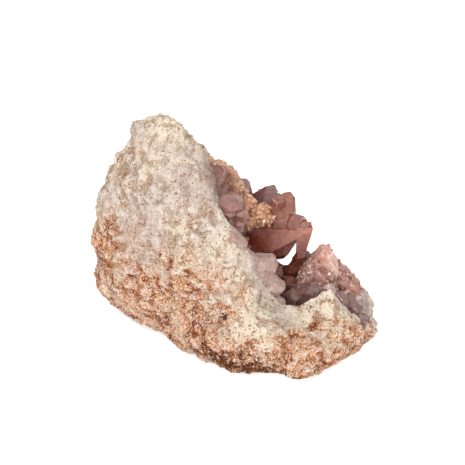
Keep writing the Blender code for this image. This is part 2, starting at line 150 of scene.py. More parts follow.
# Grooves between the lobes of the rind: the points they run through, then reach, depth and stain,
# which is iron in the grooves and painted shade in the cleft along the base.
FURROWS = [
    ([(-40.5, -3.5, 43), (-41, -4.5, 37), (-42.5, -4.5, 30.5), (-42.5, -3.5, 22.5),
      (-41.5, -2.5, 14)], 1.6, 0.9, 0.3),
    ([(-21.5, -21.5, 38.5), (-21.5, -20.5, 29.5), (-21.5, -19.5, 21), (-22.5, -14, 9)], 1.5, 1.1, 0.9),
    ([(-15, -24.5, 35), (-13, -25, 29.5), (-11.5, -23.5, 23.5)], 1.5, 0.8, 0.9),
    ([(-12.5, -25.5, 11.5), (-9.5, -27.5, 9), (-6, -28.5, 7), (-2, -32, 6.5),
      (2, -33.5, 5.5), (7.5, -34, 4.5), (14, -33, 2.5)], 2, 1.4, 1.3),
    ([(1, -34, 12.5), (4, -34.5, 12), (7.5, -34.5, 11), (12.5, -34.5, 11),
      (17, -35, 12), (18.5, -32.5, 13.5), (20.5, -28.5, 14.5)], 1.4, 0.8, 0.9),
    ([(20.5, -28.5, 14.5), (23.5, -27.5, 14), (26, -28.5, 12.5)], 1.6, 0.7, 1),
    ([(26, -28.5, 12.5), (27, -23, 14), (29.5, -19.5, 15.5), (33, -19, 16),
      (36.5, -19.5, 14.5), (39.5, -19.5, 12.5), (42, -16.5, 9), (44, -15.5, 5)], 1.2, 0.7, 0.9),
    ([(36, -26, 7), (34, -28.5, 5)], 1.3, 0.7, 1),
    ([(-9, -24, 20.5), (-6, -26.5, 25), (-2.5, -29, 22.5)], 1.2, 0.6, 0.9),
    ([(-16.5, -22.5, 13), (-12.5, -23, 18), (-15, -23, 24.5)], 1.3, 0.7, 0.9),
    ([(-26, -15, 15), (-29.5, -12.5, 19.5), (-33, -11, 24.5), (-37, -8, 27)], 1.3, 0.7, 0.9),
    ([(-36, 2, 69.5), (-37, -1.5, 65), (-39.5, -1.5, 57.5)], 1.4, 0.8, 0.15),
    ([(-20, 30, 50), (-16, 33, 38), (-18, 35, 24), (-12, 36, 12)], 1.8, 1, 0.8),
    ([(-44, 14, 44), (-40, 24, 34), (-36, 30, 20)], 1.8, 1, 0.7),
    ([(8, 35, 22), (20, 33, 16), (32, 30, 8)], 1.6, 0.8, 0.8),
]

# -------- crystals
# Root, tip, width, depth, roll in degrees, the tip's share of the length and, where there are
# any, how many smaller crystals grow from its sides; mm before the shift.
CRYSTALS = {
    "violet_points": {
        "violet_point": ((9.5, 20, 37), (13, 18.5, 55), 13, 10, 40, 0.08),
        "violet_low": ((2, 18.5, 38), (13, 18.5, 46), 8, 7, 10, 0.25),
        "violet_back_a": ((4.2, 15, 47), (-0.8, 15, 58.4), 6.5, 5, 20, 0.12),
        "violet_back_b": ((5.4, 16, 42.5), (2.8, 16, 54.8), 7.5, 6, 0, 0.12),
    },
    "rose_points": {
        "rose_blade": ((16.6, 15.5, 29), (19.9, 14.8, 52), 14.5, 10, 0, 0.08),
        "rose_left": ((10, 15.5, 28), (16.4, 17, 49.6), 9.5, 8, 20, 0.12),
        "rose_side": ((19.6, 13.4, 33), (24.2, 12.8, 45), 9.5, 7.5, 0, 0.08),
        "rose_tooth": ((15.5, 12.5, 31), (29, 12, 42.6), 8.5, 7, 0, 0.1),
    },
    "red_blades": {
        "long_blade": ((-1, 10.5, 34.2), (34, 9.5, 33.4), 15.5, 7.5, 90, 0.04),
        "blade_end": ((25.2, 10.6, 25.6), (25.6, 10.6, 41), 8, 8, 30, 0.12),
    },
    # Painted shade: dark crystals set deep under the blade and at the far saddle, where the hollow
    # lies in shadow.
    "shaded_points": {
        "under_blade": ((-1, 13, 27.5), (26, 12.5, 31), 8, 12, 0, 0.1),
        "under_point": ((2.5, 14, 18), (16.5, 14, 25), 8, 8, 20, 0.3, 1),
        "gap_point": ((26.4, 13, 27), (18.8, 14, 16), 5.6, 5, 0, 0.3),
        "standing_point": ((24.4, 15, 12), (24, 13.5, 28.5), 7, 5, 0, 0.3),
        "saddle_a": ((16, 19, 9), (15.8, 20, 19.6), 6, 5, 0, 0.4, 1),
        "saddle_b": ((19.5, 20, 7), (19.3, 21, 17.6), 6, 5, 20, 0.4, 1),
        "saddle_c": ((23, 17, 8), (22.6, 16, 20), 6.5, 5, 0, 0.4, 1),
        "saddle_d": ((21.5, 13, 7), (20.5, 11, 16), 7.5, 7, 0, 0.4),
        "floor_a": ((14, 6, 12), (16, 6, 22), 8, 7, 0, 0.4),
        "shade_a": ((12, 10.5, 13), (17.2, 10, 23.8), 8, 7, 10, 0.25),
        "shade_b": ((18, 10, 10), (21.6, 10.5, 19.6), 8, 7, 0, 0.25),
    },
    "mauve_blocks": {
        "mauve_block": ((-7, 1, 41), (0.8, -2, 55.6), 16, 11, 0, 0.12),
        "mauve_step": ((-4, 0, 40), (4.8, -2, 51.8), 8.5, 8, 20, 0.2),
        "mauve_glow": ((-4.5, -4, 44), (-0.2, -5.6, 53), 7.5, 5.5, 0, 0.15),
        "mauve_low": ((-6, -4, 41), (4.4, -4, 46.5), 7, 6, 0, 0.2, 1),
        "mauve_fill": ((-13, -5, 51), (-2.6, -3.2, 55.2), 9.5, 8, 30, 0.25, 1),
    },
    "plum_faces": {
        "plum_a": ((-7.5, 0, 50), (-5.2, 0.4, 67.4), 8.5, 7, 0, 0.15),
        "plum_b": ((-5.5, 1, 48), (-4.2, 1.2, 60.8), 7.5, 6, 20, 0.15),
    },
    "glow_points": {
        "rim_glow_a": ((34, 9, 7), (34.6, 6, 18.2), 8, 6, 0, 0.3, 2),
        "rim_glow_b": ((38, 8.5, 5), (39.4, 6, 15.2), 7, 6, 0, 0.3, 2),
    },
    "dark_points": {
        "dark_a": ((17, 4, 13.5), (33.6, -1.5, 19), 12, 9.5, 0, 0.25),
        "dark_left": ((19, -3, 7.5), (21.4, -0.5, 20), 11, 9, 0, 0.3),
        "dark_b": ((25.5, -4, 8), (28.5, -3, 16.5), 8, 7, 20, 0.3),
        "dark_c": ((36.5, 2, 5), (39.4, 3.6, 17.4), 11, 8, 0, 0.25, 1),
        "dark_d": ((41, 1.5, 4), (43.4, 2.2, 14), 10.5, 7, 20, 0.25, 1),
        "dark_e": ((44.5, -0.5, 3.5), (46, -1, 10.4), 8.5, 6, 0, 0.3, 1),
        "dark_f": ((40.5, -1, 8), (46.9, -4.6, 6.8), 5.5, 4.5, 0, 0.3),
        "dark_g": ((46.5, 1.5, 3), (47.8, 0.6, 8.8), 5, 5, 0, 0.3),
    },
    "pink_points": {
        "boss_a": ((31, 17, 12), (32.2, 19, 32.5), 11.5, 9.5, 0, 0.15),
        "boss_b": ((32.5, 16, 10), (36.6, 17.5, 25.6), 10, 8, 15, 0.2),
        "boss_c": ((30, 16, 10), (28.2, 14, 25), 9, 7, 0, 0.3, 1),
        "boss_d": ((31, 14, 9), (32, 11, 19.5), 9, 7, 0, 0.35, 1),
        "boss_e": ((27, 15, 11), (25.6, 12.5, 25.2), 7.5, 6, 0, 0.35, 1),
        "slope_a": ((39, 19, 6), (41, 21, 15.8), 8, 7, 0, 0.35, 1),
        "slope_b": ((42, 17, 5), (44.4, 19.5, 13), 8, 7, 0, 0.35, 1),
        "slope_c": ((43.5, 14, 4), (46.4, 16, 11.8), 7, 6, 0, 0.35, 1),
        "slope_d": ((37, 20, 8), (38.4, 22, 19), 8, 7, 0, 0.35, 1),
    },
}
# Broad faces that end a crystal: a place on the face and the way the face looks.
CUTS = {
    "violet_point": [((10.5, 15, 51.2), (-0.36, 0.75, 1)), ((16.8, 16, 47.6), (0.92, 0.35, 0.4))],
    "rose_blade": [
        ((19.7, 10.5, 42.4), (-0.28, -0.5, 1)), ((20.7, 19, 47.2), (0.81, -0.25, 0.58)),
        ((22.4, 14, 46.6), (0.9, -0.25, 0.3)),
    ],
    "rose_side": [((24, 10, 43), (0.3, 0.7, 1))],
    "rose_tooth": [((26, 9.5, 40.8), (-0.02, 0.7, 1)), ((27.8, 10, 40), (0.9, 0.4, 0.18))],
    "long_blade": [
        ((12, 7, 37.6), (0.04, -0.35, 1)), ((8, 7, 29.9), (0, -0.2, -1)),
        ((28.8, 7, 36.6), (0.93, 0.3, -0.2)), ((15.2, 7, 30.4), (0.47, -0.1, -0.85)),
        ((12, 8, 34), (0, -0.98, 0.1)),
    ],
    "blade_end": [
        ((28.4, 8, 36.6), (0.92, 0.3, -0.3)), ((22.6, 8, 33.5), (-0.95, 0.3, 0)),
        ((25, 8.1, 34), (0, -0.98, 0.1)), ((25, 7, 38), (0.04, -0.35, 1)),
        ((24.5, 8, 27.4), (0.3, 0.3, -1)),
    ],
    "under_blade": [((19.8, 12.5, 27), (0.85, -0.1, -0.52))],
    "mauve_block": [((4.8, -2, 53), (0.8, -0.2, 0.55))],
    "boss_a": [
        ((32.5, 13, 30.2), (0.05, 0.45, 1)), ((29.4, 17, 26), (-0.7, -0.6, 0.45)),
        ((34.6, 18, 27), (0.75, -0.25, 0.7)), ((28.4, 14.5, 25.5), (-0.8, 0.4, 0.58)),
    ],
    "boss_b": [((37.6, 18, 22), (0.85, -0.35, 0.55))],
    "dark_a": [((30, -1, 22), (0.3, -0.5, 0.8))],
}
LUMPS = {
    "pale_lumps": [
        ((-2, -12.6, 47), (4.2, -12, 39.6), 8.5, 6.5, 0, 0.2),
        ((2, -9, 33), (16.4, -7, 31.8), 9, 9, 90, 0.15),
        ((8, -9.5, 30.5), (18.4, -8, 21.6), 8.5, 7.5, 0, 0.15),
        ((7.5, -9, 21.5), (16.5, -8.5, 25.5), 9, 8, 20, 0.2),
        ((12, -9.5, 15), (18.6, -9, 19.5), 8, 7, 0, 0.2),
        ((2, -11, 39.5), (9, -10, 33.5), 7, 6, 0, 0.2),
    ],
    "rim_quartz": [
        ((45, 14, 5), (48.3, 15, 11.2), 6, 5, 0, 0.2),
        ((46, 10, 4), (49.2, 10.5, 9.4), 6.5, 5, 0, 0.2),
        ((45.5, 6, 4), (49, 6.5, 8.4), 6.5, 5, 0, 0.2),
        ((46, 3, 3), (49.2, 3, 6.8), 6, 5, 0, 0.2),
    ],
    "tan_ridge": [
        ((-10.5, 5, 57), (-7.4, 5, 68.6), 8, 7, 0, 0.3),
        ((-7, 7, 55), (-3.3, 7.5, 66.2), 9, 8, 20, 0.3),
        ((-4.5, 8, 51), (-0.5, 9, 63.2), 9, 8, 0, 0.3),
        ((-2.5, 10, 47), (2.2, 12, 58.8), 9, 8, 40, 0.3),
        ((-1, 12, 43), (4.6, 13, 54.4), 8, 7, 0, 0.3),
        ((0, 13, 40.5), (7.4, 13, 50), 8, 7, 20, 0.3),
        ((-4, 6, 48), (1.6, 5, 56), 7, 6, 20, 0.3),
    ],
    "peach_druse": [
        ((1, 8, 45.5), (7.6, 5, 51.8), 7, 6, 0, 0.3),
        ((4.2, 8, 41.5), (13.2, 6, 49), 7, 6, 20, 0.3),
        ((5, 7, 41.5), (15.2, 5.5, 45), 6, 5, 0, 0.3),
        ((0.5, 6, 41), (9.4, 3.5, 43.4), 5, 4.5, 20, 0.3),
        ((-2, 4, 42), (3.6, 1.5, 44), 5, 4.5, 0, 0.3),
    ],
    "pink_druse": [
        ((31, 18, 13), (31.5, 21, 24.5), 8, 7, 0, 0.4),
        ((30, 17, 13), (26.5, 16, 22.5), 8, 7, 0, 0.4),
        ((33, 19, 12.5), (38, 22, 19), 8, 7, 10, 0.4),
        ((31.5, 17, 11.5), (28.5, 10, 23.5), 8, 7, 20, 0.4),
        ((33, 17, 11.5), (33.5, 10, 22.5), 9, 8, 0, 0.4),
        ((29, 17, 10.5), (25.8, 12, 20.5), 7, 6, 40, 0.4),
        ((30.5, 16, 9.5), (30, 6, 20.5), 8, 7, 10, 0.4),
        ((40, 17, 5.5), (41.2, 18, 15.5), 9, 8, 0, 0.35),
        ((42.5, 15, 5), (44.6, 15.5, 12.5), 8, 7, 30, 0.35),
        ((38, 17, 4.5), (37, 11, 17), 8, 7, 0, 0.4),
        ((41.5, 15, 4), (42, 10, 14), 8, 7, 10, 0.4),
        ((28, 15, 10), (25.2, 11.5, 24), 8, 7, 0, 0.4),
        ((27, 12, 8), (26, 7.5, 20), 8, 7, 0, 0.4),
        ((44.5, 11, 4), (46.4, 11, 9.5), 6, 6, 10, 0.4),
        ((35.5, 21.5, 12.5), (39, 23, 20.6), 8, 7, 0, 0.3),
        ((38.5, 21.5, 9.5), (42, 22.5, 17.4), 8, 7, 20, 0.3),
        ((41.5, 19.5, 7), (45, 20.5, 14.6), 7.5, 7, 0, 0.3),
        ((29, 14, 16), (27.6, 11.5, 26.6), 8, 7, 0, 0.4),
        ((44, 16.5, 5), (47.6, 17, 11.6), 7, 6, 10, 0.3),
    ],
}
LUMP_VOXEL = 0.45       # mm
EDGE_BEVEL = 0.12
SAME_FACING = 0.9995    # cosine between a face and the flat it was cut from
SIDE_SPREAD = (0.88, 1.1)
TAPER = (0.86, 0.98)    # width at the tip over width at the root
DUST_THICKNESS, DUST_SINK, DUST_LEAN = (1.0, 1.7), 0.5, 0.8
LINING_THICKNESS = 2.0
LINING_EDGE = 0.05      # of that thickness left at the lining's own edge
LINING_RAMP = 4.0       # over which the lining reaches its thickness
WALL_REACH = 0.75       # how near the crystals the rind's faces are wall of the hollow
RIM_MARGIN = 1.0        # of bare wall inside the rim
BARE_PLACES = [
    (-8, 2, 58, 9), (-3, -2, 50, 8), (-4, -9, 57, 4), (16, -10, 18, 6), (8, -9, 34, 6),
    (22, -5, 14, 9), (42, 23, 10, 8), (47, 18, 8, 7),
]
# Coats of the hollow: finish, then in mm the spacing, distance from the rim and length of the
# crystals, and the share of their length that they sit deep.
HOLLOW_COATS = {
    "hollow_points": ("hollow", 3.3, 2.6, (4.6, 7.6), 0.25),
    "hollow_druse": ("druse", 1.55, 1.2, (2.2, 3.6), 0.3),
}
HOLLOW_THICKNESS, HOLLOW_LEAN = (0.85, 1.25), 0.45
SEED = 11
# Each group of large points: finish, and how many tiny crystals are strewn over it.
GROUPS = {
    "rose_points": ("rose", 12),
    "red_blades": ("red", 8),
    "violet_points": ("violet", 8),
    "shaded_points": ("shaded", 60),
    "mauve_blocks": ("mauve", 30),
    "plum_faces": ("plum", 10),
    "glow_points": ("glow", 60),
    "dark_points": ("dark", 30),
    "pink_points": ("boss", 160),
}
# Each druse: finish, then the spacing, length, thickness, sink and lean of its small crystals.
COATS = {
    "tan_ridge": ("tan", 0.8, (0.8, 1.5), (1.0, 1.7), 0.55, 0.7),
    "peach_druse": ("peach", 1.3, (1.8, 3.4), (0.7, 1.2), 0.5, 1.0),
    "pink_druse": ("pink", 1.3, (1.4, 2.5), (1.1, 1.7), 0.6, 0.9),
}

# -------- colours
# Colour at the root, colour at the tip, roughness, how much light passes and share of the veils.
QUARTZ = {
    "lining": ((0.11, 0.03, 0.02), (0.27, 0.11, 0.085), 0.12, 0.62, 0.4),
    "hollow": ((0.14, 0.04, 0.028), (0.38, 0.17, 0.14), 0.12, 0.62, 0.4),
    "druse": ((0.16, 0.045, 0.03), (0.42, 0.19, 0.15), 0.12, 0.62, 0.4),
    "rose": ((0.24, 0.056, 0.032), (0.42, 0.18, 0.13), 0.2, 0.4, 0.4),
    "red": ((0.2, 0.03, 0.013), (0.6, 0.24, 0.165), 0.3, 0.4, 0.15),
    "violet": ((0.19, 0.075, 0.065), (0.36, 0.19, 0.17), 0.2, 0.4, 0.4),
    # painted shade: dark colours for the crystals that lie in shadow
    "shaded": ((0.16, 0.034, 0.018), (0.27, 0.08, 0.053), 0.3, 0.4, 0.4),
    "mauve": ((0.3, 0.12, 0.095), (0.66, 0.34, 0.275), 0.12, 0.62, 0.4),
    "plum": ((0.14, 0.04, 0.03), (0.3, 0.12, 0.09), 0.2, 0.45, 0.4),
    "glow": ((0.62, 0.34, 0.28), (0.92, 0.68, 0.6), 0.12, 0.5, 0.4),
    "dark": ((0.18, 0.06, 0.047), (0.46, 0.26, 0.23), 0.12, 0.62, 0.4),
    "boss": ((0.67, 0.29, 0.21), (1.0, 0.69, 0.58), 0.12, 0.4, 0.4),
    "pale": ((0.42, 0.265, 0.215), (0.68, 0.5, 0.44), 0.3, 0.4, 0.4),
    "rim": ((0.48, 0.35, 0.31), (0.76, 0.65, 0.59), 0.2, 0.55, 0.4),
    "glint": ((0.8, 0.62, 0.56), (0.95, 0.85, 0.8), 0.1, 0.3, 0.4),
    "tan": ((0.38, 0.16, 0.09), (0.82, 0.53, 0.39), 0.3, 0.25, 0.4),
    "peach": ((0.5, 0.21, 0.1), (0.92, 0.58, 0.39), 0.12, 0.4, 0.4),
    "pink": ((0.64, 0.26, 0.18), (1.0, 0.77, 0.68), 0.12, 0.62, 0.4),
}
QUARTZ_INDEX = 1.54
POCKET_SHADE_BROWN = (0.24, 0.075, 0.03)
RIM_BUFF = (0.62, 0.5, 0.45)


def only(item):
    """Selects one object alone and makes it active."""
    bpy.ops.object.select_all(action="DESELECT")
    item.select_set(True)
    bpy.context.view_layer.objects.active = item


def mode(name):
    bpy.ops.object.mode_set(mode=name)


def apply_all(item):
    """Applies an object's modifiers from the first to the last."""
    only(item)
    for modifier in list(item.modifiers):
        bpy.ops.object.modifier_apply(modifier=modifier.name)


def merged_copy(node, name):
    """A CAD node's shape as a new piece, with its loose triangles joined."""
    made = bpy.data.objects.new(name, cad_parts[node].data.copy())
    bpy.context.scene.collection.objects.link(made)
    made.data.materials.clear()
    only(made)
    mode("EDIT")
    bpy.ops.mesh.select_all(action="SELECT")
    bpy.ops.mesh.remove_doubles(threshold=1e-6)
    mode("OBJECT")
    return made


def points_of(item):
    co = np.empty(len(item.data.vertices) * 3, np.float32)
    item.data.vertices.foreach_get("co", co)
    return co.reshape(-1, 3).astype(float)


def normals_of(item):
    co = np.empty(len(item.data.vertices) * 3, np.float32)
    item.data.vertex_normals.foreach_get("vector", co)
    return co.reshape(-1, 3).astype(float)


def set_points(item, points):
    item.data.vertices.foreach_set("co", np.asarray(points, np.float32).ravel())
    item.data.update()


def give(item, name, values):
    """Stores one number for each vertex, for the material to read."""
    made = item.data.attributes.get(name) or item.data.attributes.new(name, "FLOAT", "POINT")
    made.data.foreach_set("value", np.asarray(values, np.float32))


def patches(points, marks):
    """How strongly each point lies in the marked patches, from 0 to about 1."""
    total = np.zeros(len(points))
    for *place, reach, amount in marks:
        away = np.linalg.norm(points / MM - np.array(place), axis=1)
        total = np.maximum(total, amount * np.exp(-((away / reach) ** 2)))
    return total


def line_distance(points, line):
    """How far each point is from a line through the given places, in mm."""
    places = points / MM
    away = np.full(len(places), np.inf)
    for start, end in zip(line, line[1:]):
        start, run = np.array(start, float), np.subtract(end, start).astype(float)
        share = np.clip(((places - start) @ run) / (run @ run), 0, 1)
        away = np.minimum(away, np.linalg.norm(places - start - share[:, None] * run, axis=1))
    return away


# -------- materials
class Amount:
    """A number worked out by a material's nodes; sums and products of it add more nodes."""

    def __init__(self, finish, socket):
        self.finish, self.socket = finish, socket

    def __add__(self, other):
        return self.finish.math("ADD", self, other)

    def __sub__(self, other):
        return self.finish.math("SUBTRACT", self, other)

    def __rsub__(self, other):
        return self.finish.math("SUBTRACT", other, self)

    def __mul__(self, other):
        return self.finish.math("MULTIPLY", self, other)

    __radd__, __rmul__ = __add__, __mul__

    def clamped(self):
        """The same number, kept between 0 and 1."""
        return self.finish.math("MULTIPLY", self, 1.0, clamp=True)


class Finish:
    """A node material under construction."""

    def __init__(self, name):
        self.material = bpy.data.materials.new(name)
        self.material.use_nodes = True
        self.nodes = self.material.node_tree.nodes
        self.links = self.material.node_tree.links
        self.shader = self.nodes["Principled BSDF"]
        place = self.nodes.new("ShaderNodeTexCoord")
        self.space = self.nodes.new("ShaderNodeMapping")
        self.space.inputs["Scale"].default_value = (1 / MM, 1 / MM, 1 / MM)
        self.links.new(place.outputs["Object"], self.space.inputs["Vector"])

    def put(self, socket, value):
        """Links or sets one input."""
        if isinstance(value, Amount):
            value = value.socket
        if isinstance(value, bpy.types.NodeSocket):
            self.links.new(value, socket)
        elif isinstance(value, tuple) and len(value) == 3 and socket.type == "RGBA":
            socket.default_value = (*value, 1.0)
        else:
            socket.default_value = value

    def noise(self, size, detail=3.0, rough=0.55, warp=0.0, shift=(0, 0, 0)):
        """Cloudy noise whose patches are about size mm across."""
        made = self.nodes.new("ShaderNodeTexNoise")
        moved = self.nodes.new("ShaderNodeMapping")
        moved.inputs["Location"].default_value = shift
        self.links.new(self.space.outputs["Vector"], moved.inputs["Vector"])
        self.links.new(moved.outputs["Vector"], made.inputs["Vector"])
        made.inputs["Scale"].default_value = 1.0 / size
        made.inputs["Detail"].default_value = detail
        made.inputs["Roughness"].default_value = rough
        made.inputs["Distortion"].default_value = warp
        return Amount(self, made.outputs["Fac"])

    def attribute(self, name):
        made = self.nodes.new("ShaderNodeAttribute")
        made.attribute_name = name
        return Amount(self, made.outputs["Fac"])

    def math(self, operation, a, b, clamp=False):
        made = self.nodes.new("ShaderNodeMath")
        made.operation = operation
        made.use_clamp = clamp
        self.put(made.inputs[0], a)
        self.put(made.inputs[1], b)
        return Amount(self, made.outputs[0])

    def step(self, value, low, high):
        """0 below low, 1 above high, and smooth between them."""
        made = self.nodes.new("ShaderNodeMapRange")
        made.interpolation_type = "SMOOTHSTEP"
        self.put(made.inputs["Value"], value)
        self.put(made.inputs["From Min"], low)
        self.put(made.inputs["From Max"], high)
        return Amount(self, made.outputs["Result"])

    def mix(self, share, a, b):
        made = self.nodes.new("ShaderNodeMix")
        made.data_type = "RGBA"
        self.put(made.inputs[0], share)
        self.put(made.inputs[6], a)
        self.put(made.inputs[7], b)
        return made.outputs[2]

    def scale(self, colour, factor):
        """A colour made lighter or darker by a number."""
        made = self.nodes.new("ShaderNodeVectorMath")
        made.operation = "SCALE"
        self.put(made.inputs[0], colour)
        self.put(made.inputs["Scale"], factor)
        return made.outputs[0]

    def bump(self, height, distance, strength):
        made = self.nodes.new("ShaderNodeBump")
        made.inputs["Distance"].default_value = distance
        made.inputs["Strength"].default_value = strength
        self.put(made.inputs["Height"], height)
        return made.outputs["Normal"]

    def set(self, **values):
        for name, value in values.items():
            self.put(self.shader.inputs[name.replace("_", " ")], value)
        return self.material


def bare_stone(f, pit, grey, cream, fine):
    """Chalky cream stone with white, grey and yellow patches, and creases browned as painted shade."""
    broad = f.step(f.noise(13, 3, 0.5), 0.38, 0.62)
    colour = f.mix(broad, (0.7, 0.57, 0.475), (0.9, 0.75, 0.56))
    pinkish = f.step(f.noise(9, 3, 0.55, shift=(31, 7, 3)), 0.48, 0.64)
    colour = f.mix(pinkish * 0.6, colour, (0.82, 0.61, 0.49))
    plain = 1.0 - grey * 0.7
    white = f.step(f.noise(4.0, 5, 0.6, shift=(3, 50, 9)), 0.4, 0.62) * 0.7
    colour = f.mix(white * (1.0 - pit) * plain, colour, (0.945, 0.855, 0.79))
    colour = f.mix(grey * 0.75, colour, (0.68, 0.58, 0.53))
    colour = f.mix(cream * 0.75, colour, (0.99, 0.86, 0.66))
    colour = f.scale(colour, 0.72 + fine * 0.4)
    # Painted shade: browner where the pits are deep.
    painted_crease_shade = f.step(pit, 0.55, 0.95) * plain
    return f.mix(painted_crease_shade * 0.5, colour, (0.42, 0.25, 0.15)), plain


def rim_stone(f, colour, rim, cream, blush, fine):
    """A band of smoother chalcedony at the rim, which turns mauve at the lip of the hollow."""
    clouds = f.step(f.noise(2.5, 4, 0.6, shift=(5, 5, 5)), 0.4, 0.62)
    band = f.scale(f.mix(clouds, (0.62, 0.51, 0.43), (0.8, 0.7, 0.61)), 0.78 + fine * 0.36)
    colour = f.mix(rim * (0.85 - cream * 0.6), colour, band)
    return f.mix((blush * 0.9).clamped(), colour, (0.28, 0.145, 0.115))


def iron_field(f, rust_and_shade, pit, rim, grey, cream):
    """How much iron lies at a point: grains that crowd together where the stone is stained, and along
    the base as painted shade.
    """
    spread = f.step(f.noise(3.6, 4, 0.6, shift=(70, 2, 9)), 0.36, 0.6)
    cluster = f.step(f.noise(5.5, 2, 0.5, shift=(6, 41, 17)), 0.42, 0.58)
    stain_and_shade = rust_and_shade * 1.2 - 0.06 - grey * 0.15 - rim * 0.25 - cream * 0.3
    in_pits = (pit - 0.5) * (0.3 + rust_and_shade * 0.3)
    grain = f.step(f.noise(0.62, 2, 0.7, shift=(11, 5, 40)), 0.38, 0.62)
    return grain + (spread * (0.5 + cluster * 0.9) * stain_and_shade + in_pits)


def rind_finish():
    """Chalky stone with iron stains down in its pits, specks of iron and soot, painted shade low down
    and in its creases, and painted light on its crests.
    """
    f = Finish("rind_stone")
    rust_and_shade, pit, rim, grey, blush, cream, soot_and_shade = (
        f.attribute(name) for name in ("rust_and_shade", "pit", "rim", "grey", "blush", "cream", "soot_and_shade")
    )
    fine = f.step(f.noise(0.6, 3, 0.8), 0.34, 0.66)
    colour, plain = bare_stone(f, pit, grey, cream, fine)
    colour = rim_stone(f, colour, rim, cream, blush, fine)

    wash = f.step(f.noise(5.0, 4, 0.65, shift=(2, 9, 33)), 0.36, 0.58) * 0.7
    wash = rust_and_shade * (wash + 0.3)
    colour = f.mix((wash * 0.84).clamped(), colour, (0.94, 0.46, 0.205))
    field = iron_field(f, rust_and_shade, pit, rim, grey, cream)
    tint = f.step(field, 0.78, 1.06)
    iron = f.mix((rust_and_shade * 2.0).clamped(), (0.46, 0.27, 0.16), (0.66, 0.195, 0.048))
    colour = f.mix(tint * 0.88, colour, iron)
    colour = f.mix(f.step(field, 1.14, 1.46) * 0.92, colour, (0.19, 0.048, 0.013))

    # Painted light: paler tops on the knobs, away from the pits.
    crest = f.step(f.noise(1.6, 4, 0.7, shift=(9, 1, 77)), 0.42, 0.6)
    crest = f.step(pit, 0.46, 0.1) * crest * plain
    colour = f.mix(crest * 0.6, colour, (0.95, 0.84, 0.73))
    swarm = f.step(f.noise(6.0, 3, 0.6, shift=(21, 60, 4)), 0.36, 0.6)
    swarm = (swarm - grey * 0.6).clamped()
    speck = f.step(f.noise(1.0, 2, 0.5, shift=(1, 90, 14)) + swarm * 0.09, 0.66, 0.7)
    colour = f.mix(speck * 0.85, colour, (0.36, 0.15, 0.05))
    stained_and_shaded = rust_and_shade.clamped()
    dot = f.step(f.noise(0.8, 2, 0.6, shift=(44, 3, 12)), 0.55, 0.61)
    colour = f.mix(dot * stained_and_shaded * 0.8, colour, (0.27, 0.068, 0.018))
    fleck = f.step(f.noise(0.8, 2, 0.6, shift=(4, 73, 52)), 0.55, 0.61)
    colour = f.mix(fleck * stained_and_shaded * 0.6, colour, (1.0, 0.93, 0.86))
    murk = f.step(f.noise(1.4, 5, 0.75, warp=0.8, shift=(8, 8, 60)), 0.3, 0.7)
    # Painted shade, with real dark specks: near-black brown where the soot and shade marks meet the
    # murk noise.
    colour = f.mix(f.step(soot_and_shade + murk, 0.95, 1.32) * 0.96, colour, (0.115, 0.033, 0.008))

    height = f.noise(0.7, 5, 0.8) + f.noise(2.0, 3, 0.6) * 1.2 - tint * 0.25
    bump = f.bump(height, 0.0012, 1.0)
    return f.set(Base_Color=colour, Roughness=0.92, Specular_IOR_Level=0.1, Normal=bump)


def quartz_finish(name, rim_tint=None):
    """Cloudy quartz: deep colour at the root, paler at the tip, with veils inside."""
    deep, pale, roughness, clear, veils = QUARTZ[name]
    f = Finish(name + "_quartz")
    veil = f.step(f.noise(3.0, 4, 0.6, warp=0.6), 0.34, 0.66)
    share = f.attribute("tip") * (1.0 - veils) + veil * veils + f.attribute("tone") * 0.3
    colour = f.mix(f.step(share, 0.2, 1.15), deep, pale)
    # Painted highlight: the narrow faces along the edges are paler.
    colour = f.mix(f.attribute("edge") * 0.45, colour, pale)
    # Painted shade: the druse's hollows turn dark brown.
    colour = f.mix(f.attribute("pocket_shade"), colour, POCKET_SHADE_BROWN)
    if rim_tint is not None:
        colour = f.mix(f.attribute("rim"), colour, rim_tint)
    frost = f.step(f.noise(1.3, 4, 0.7, shift=(40, 3, 8)), 0.32, 0.68)
    colour = f.scale(colour, 0.82 + frost * 0.36)
    gloss = roughness - 0.06 + f.step(veil, 0.3, 1.0) * 0.2
    bump = f.bump(f.noise(1.8, 3, 0.5) + f.noise(0.5, 2, 0.5) * 0.25, 0.0002, 0.7)
    f.shader.subsurface_method = "RANDOM_WALK"
    return f.set(
        Base_Color=colour, Roughness=gloss, Normal=bump, IOR=QUARTZ_INDEX,
        Transmission_Weight=clear, Subsurface_Weight=0.15, Subsurface_Scale=0.002,
        Subsurface_Radius=(1.0, 0.5, 0.4),
    )


# -------- rind
def remeshed(item, voxel, rounds):
    """Adds an even mesh and a light smoothing, as modifiers still to be applied."""
    even = item.modifiers.new("even", "REMESH")
    even.mode = "VOXEL"
    even.voxel_size = voxel * MM
    even.use_smooth_shade = True
    soften = item.modifiers.new("soften", "SMOOTH")
    soften.factor, soften.iterations = 0.5, rounds


def displaced(item, name, kind, size, height, **settings):
    """Adds a procedural relief to a piece, as a modifier still to be applied."""
    texture = bpy.data.textures.new(name, kind)
    texture.noise_scale = size * MM
    for setting, value in settings.items():
        setattr(texture, setting, value)
    relief = item.modifiers.new(name, "DISPLACE")
    relief.texture = texture
    relief.texture_coords = "LOCAL"
    relief.direction = "NORMAL"
    relief.strength = height * MM
    relief.mid_level = 0.5
    return relief


def knobbly(item, name, size, height, warp):
    """Adds rounded knobs with creases between them."""
    displaced(item, name, "DISTORTED_NOISE", size, height, noise_basis="VORONOI_F1",
              noise_distortion="ORIGINAL_PERLIN", distortion=warp)


def distance_to(points, tree, furthest):
    """How far each point is from a surface, in metres, up to furthest."""
    hits = (tree.find_nearest(Vector(point), furthest) for point in points)
    return np.array([furthest if hit[0] is None else hit[3] for hit in hits])


